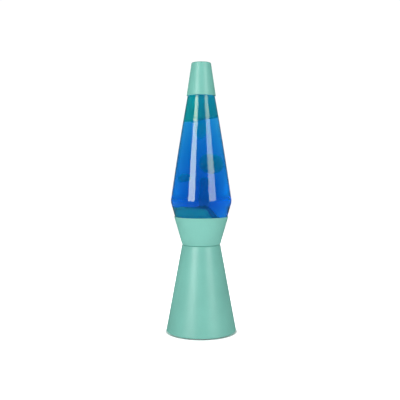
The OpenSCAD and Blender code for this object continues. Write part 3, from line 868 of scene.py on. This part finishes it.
class LAMP_OT_bottle(bpy.types.Operator):
    """Turns the glass bottle from its own section"""

    bl_idname = "lamp.bottle"
    bl_label = "Glass bottle"

    def execute(self, context):
        profile = closed(eased(outline("glass_bottle")))
        top = highest(profile)
        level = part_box("liquid")[1].z
        wet = next(i for i in range(top, len(profile)) if profile[i][1] < level)
        bm = turned(profile, form().around, material_at=lambda i: int(i >= wet))
        faces = [glass(), wet_glass()]
        make_piece("bottle", bm, faces, "bottle", ["glass_bottle"])
        return {"FINISHED"}


def inner_wall(outward=0.0):
    """The bottle's inner section from the middle of its floor up, moved outward"""
    points = outline("glass_bottle")
    inside = list(reversed(points[highest(points) + 1 :]))
    moved = [(0.0, inside[0][1] - outward)]
    for i in range(1, len(inside)):
        a, b = Vector(inside[i - 1]), Vector(inside[min(i + 1, len(inside) - 1)])
        along = (b - a).normalized()
        out = Vector((along.y, -along.x)) * outward
        moved.append((inside[i][0] + out.x, inside[i][1] + out.y))
    return moved


def wall_radius(wall, z):
    """The radius of the section at a height above the floor's heel"""
    for (r0, z0), (r1, z1) in zip(wall, wall[1:]):
        if z0 <= z <= z1 and z1 > z0:
            return r0 + (r1 - r0) * (z - z0) / (z1 - z0)
    return wall[-1][0]


class LAMP_OT_liquid(bpy.types.Operator):
    """Fills the bottle with dyed liquid up to its level"""

    bl_idname = "lamp.liquid"
    bl_label = "Liquid"

    def execute(self, context):
        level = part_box("liquid")[1].z
        rim = form().meniscus
        wall = inner_wall(form().wet_overlap)
        edge = wall_radius(wall, level)
        profile = eased([p for p in wall if p[1] < level - rim / 2])
        # The shares of the radius and of the meniscus's height, from the glass to the axis
        climb = [(1.0, 1.0), (0.97, 0.55), (0.93, 0.25), (0.86, 0.08), (0.7, 0), (0.35, 0)]
        profile += [(edge * out, level - rim * (1 - up)) for out, up in climb]
        profile.append((0.0, level - rim))
        bm = turned(profile, form().around)
        make_piece("blue_filling", bm, [liquid()], "bottle", ["liquid"])
        return {"FINISHED"}


def neck_plug():
    """Wax that fills the bottle's neck, with a lower face that tilts up to the right"""
    wall = inner_wall()
    rise, gap = 0.0042, 0.0004  # its room to drift up, and its distance from the glass
    top, bottom = 0.3508, 0.3150
    tilt, swell, swell_scale = 0.17, 0.002, 70

    def most(z):
        return wall_radius(wall, z + rise) - gap

    # The shares of the radius and of the height, from the top's middle to the lower face's
    shares = [(0.0, 0.0), (0.6, 0.0), (0.9, 0.02), (1.0, 0.07)]
    shares += [(1.0, 0.07 + 0.86 * k / 12) for k in range(1, 12)]
    shares += [(1.0, 0.90), (0.93, 0.97), (0.6, 1.0), (0.0, 1.0)]
    levels = [(share, top - (top - bottom) * drop) for share, drop in shares]
    bm = turned([(most(z) * share, z) for share, z in levels], 96)
    for v in bm.verts:
        drop = (top - v.co.z) / (top - bottom)
        v.co.z += drop * (tilt * v.co.x + swell * noise.noise(v.co * swell_scale))
        widest, here = most(v.co.z), math.hypot(v.co.x, v.co.y)
        if here > widest:
            v.co.x, v.co.y = v.co.x * widest / here, v.co.y * widest / here
    return bm


# The name of a piece of wax, the node and the body it stands for, and its lumps. Each lump
# has its offset from the middle of the node's box and its radii, in mm.
WAX_LUMPS = (
    (
        "wax_neck_mass",
        "wax_neck",
        "neck_wax",
        [
            ((-8, -4, 2), (10, 9, 9)),
            ((-1, -4, -4), (7.6, 7.4, 17)),
            ((-0.5, -4, -17), (7.2, 7, 14.5)),
        ],
    ),
    (
        "wax_lump_right",
        "wax_right_blob",
        "right_wax",
        [
            ((1.5, 0, 0), (15.5, 13.5, 14.5)),
            ((-3, 1, 5), (9.5, 9, 10.5)),
            ((5, 0, -3), (10, 10, 11)),
        ],
    ),
    (
        "wax_lump_left",
        "wax_left_blob",
        "left_wax",
        [
            ((0.5, 0, 0), (8.2, 7.0, 6.4)),
            ((-3.5, 0, -1.8), (5.2, 5.4, 5.0)),
        ],
    ),
    (
        "wax_column_strand",
        "wax_column",
        "column_wax",
        [
            ((0, 0, -10), (6, 5.4, 12)),
            ((-0.5, 0, 3), (4.6, 4.4, 13)),
            ((0.4, 0, 13), (5.6, 5.4, 8.5)),
        ],
    ),
)


class LAMP_OT_wax(bpy.types.Operator):
    """Makes the wax: the pool, the column, the two free lumps and the mass in the neck"""

    bl_idname = "lamp.wax"
    bl_label = "Wax"

    def pool(self, material):
        """A pool that fits the bottle's lower end, with an uneven top"""
        wall = inner_wall(-0.0001)
        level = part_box("wax_pool")[1].z
        around, steps = 128, 22
        left_rise = 0.007  # how far the top's left lies over the CAD pool's top
        right_drop = 0.023  # how far the top falls from there to its right
        deepest = 0.021  # the top's edge stays less than this under the CAD pool's top
        slope_from, slope_length = 0.004, 0.018
        swell_height, swell_scale, swell_seed = 0.0028, 45, 3.7
        mound_height, mound_x, mound_y, mound_spread = 0.003, 0.003, 0.014, 0.0003

        def surface(r, angle):
            x, y = r * math.cos(angle), r * math.sin(angle)
            fall = min(1.0, max(0.0, (x - slope_from) / slope_length))
            drop = right_drop * fall * fall * (3 - 2 * fall)
            spot = Vector((x * swell_scale, y * swell_scale, swell_seed))
            swell = swell_height * noise.noise(spot)
            off = (x - mound_x) ** 2 + (y - mound_y) ** 2
            mound = mound_height * math.exp(-off / mound_spread)
            return level + left_rise - drop + swell + mound

        def edge_at(angle):
            z = level
            for _ in range(12):  # settles on the height at which the top meets the wall
                z = surface(wall_radius(wall, z), angle)
            return z

        edge = [edge_at(2 * math.pi * k / around) for k in range(around)]
        middle, *heel = [p for p in wall if p[1] < level - deepest]
        start = heel[-1][1]

        def up_wall(share):
            def point_at(k, angle):
                z = start + (edge[k] - start) * share
                return wall_radius(wall, z), z

            return ring(bm, around, point_at)

        def over_top(share):
            def point_at(k, angle):
                r = wall_radius(wall, edge[k]) * share
                return r, surface(r, angle)

            return ring(bm, around, point_at)

        bm = bmesh.new()
        rings = [[bm.verts.new((0, 0, middle[1]))]]
        rings += [ring(bm, around, lambda k, angle: (r, z)) for r, z in heel]
        rings += [up_wall(share) for share in (0.33, 0.66, 1.0)]
        rings += [over_top(1 - step / steps) for step in range(1, steps)]
        rings.append([bm.verts.new((0, 0, surface(0, 0)))])
        skin(bm, rings, around)
        nodes = ["wax_pool"]
        make_piece("wax_pool_mass", bm, [material], "bottle", nodes, 180)

    def soft(self, name, node, body, lumps, material):
        """Lumps merged into one smooth body of wax"""
        low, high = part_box(node)
        bm = neck_plug() if node == "wax_neck" else bmesh.new()
        for offset, radii in lumps:
            lump(bm, (low + high) / 2 + Vector(offset) * MM, [r * MM for r in radii])
        piece = make_piece(name, bm, [material], body, [node], 180)
        merge = piece.modifiers.new("merge", "REMESH")
        merge.mode, merge.voxel_size = "VOXEL", form().wax_voxel
        merge.use_smooth_shade = True
        ease = piece.modifiers.new("ease", "SMOOTH")
        ease.factor, ease.iterations = 0.5, 18

    def execute(self, context):
        self.pool(settled_wax())
        material = wax()
        for name, node, body, lumps in WAX_LUMPS:
            self.soft(name, node, body, lumps, material)
        return {"FINISHED"}


class LAMP_OT_closure(bpy.types.Operator):
    """Presses the flutes into the bottle's closure"""

    bl_idname = "lamp.closure"
    bl_label = "Fluted closure"

    def execute(self, context):
        low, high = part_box("crown_cap")
        flutes = form().flutes
        depth, plain = 0.0007, 0.0015  # of the flutes, and of the unfluted top
        tall = high.z - low.z - plain

        def pressed(r, z, angle):
            skirt = max(0.0, min(1.0, (high.z - plain - z) / tall))
            wave = 0.5 - 0.5 * math.cos(flutes * angle)
            return r - depth * skirt * wave if r > 0.6 * high.x else r

        profile = closed(eased(outline("crown_cap"), steps=2, corner=30))
        bm = turned(profile, flutes * 12, radius_at=pressed)
        tin = [FINISHES["tinplate"]()]
        make_piece("fluted_closure", bm, tin, "bottle", ["crown_cap"])
        return {"FINISHED"}


class LAMP_OT_finishes(bpy.types.Operator):
    """Gives every part kept from the metalwork and fittings its finish"""

    bl_idname = "lamp.finishes"
    bl_label = "Finishes"

    def execute(self, context):
        made = {}
        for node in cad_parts.values():
            for slot in node.material_slots:
                kind = slot.material.name.split(".")[0]
                if kind in FINISHES:
                    if kind not in made:
                        made[kind] = FINISHES[kind]()
                    slot.material = made[kind]
        return {"FINISHED"}


class LAMP_PT_looks(bpy.types.Panel):
    """Lists the steps that build the looks"""

    bl_label = "Lava lamp"
    bl_idname = "LAMP_PT_looks"
    bl_space_type = "VIEW_3D"
    bl_region_type = "UI"
    bl_category = "Lava lamp"

    def draw(self, context):
        for step in STEPS:
            self.layout.operator(step.bl_idname)
        for group in ("lamp_form", "lamp_colours", "lamp_studio"):
            settings = getattr(context.scene, group)
            box = self.layout.box()
            for key in settings.__annotations__:
                box.prop(settings, key)


STEPS = (
    LAMP_OT_stage,
    LAMP_OT_bottle,
    LAMP_OT_liquid,
    LAMP_OT_wax,
    LAMP_OT_closure,
    LAMP_OT_finishes,
)
GROUPS = {
    "lamp_form": LampForm,
    "lamp_colours": LampColours,
    "lamp_studio": LampStudio,
}


def register():
    """Adds the settings, the operators and the panel"""
    for group in GROUPS.values():
        bpy.utils.register_class(group)
    for name, group in GROUPS.items():
        setattr(bpy.types.Scene, name, PointerProperty(type=group))
    for step in (*STEPS, LAMP_PT_looks):
        bpy.utils.register_class(step)


def unregister():
    """Takes them away again"""
    for step in (*STEPS, LAMP_PT_looks):
        bpy.utils.unregister_class(step)
    for name, group in GROUPS.items():
        delattr(bpy.types.Scene, name)
        bpy.utils.unregister_class(group)


def main():
    """Builds everything"""
    register()
    bpy.ops.lamp.stage()
    bpy.ops.lamp.bottle()
    bpy.ops.lamp.liquid()
    bpy.ops.lamp.wax()
    bpy.ops.lamp.closure()
    bpy.ops.lamp.finishes()


if __name__ == "__main__":
    main()
